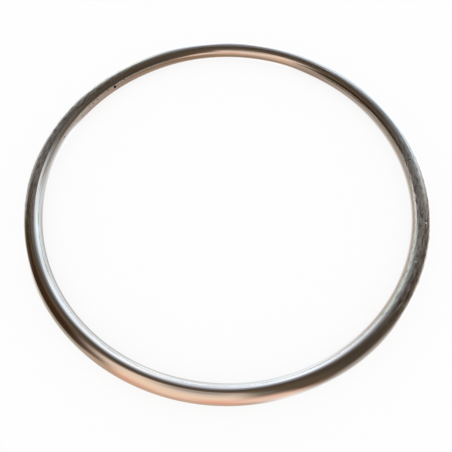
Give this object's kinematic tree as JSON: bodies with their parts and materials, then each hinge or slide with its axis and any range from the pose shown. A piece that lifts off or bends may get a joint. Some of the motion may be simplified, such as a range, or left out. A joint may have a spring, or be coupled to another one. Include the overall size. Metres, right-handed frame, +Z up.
{
  "type": "plain round bangle",
  "caption": "Closed round bangle of plain round polished silver wire, lying flat, with a tiny vent hole and pinprick pits on its inner face.",
  "frame": {"origin": "on the surface the bangle lies on, straight below the middle of the ring", "axes": "+Z up along the ring's axis, through the wrist opening; +X to the right and +Y away, as the picture shows it; the inner face's vent hole is at 134.8 degrees anticlockwise from +X"},
  "size_m": [0.071, 0.071, 0.003],
  "materials": {
    "silver": "polished sterling silver with fine hairline scratches, hazy worn stretches, small dings and dark tarnish in the pits"
  },
  "bodies": {
    "root": {"bangle": "silver"}
  },
  "joints": []
}
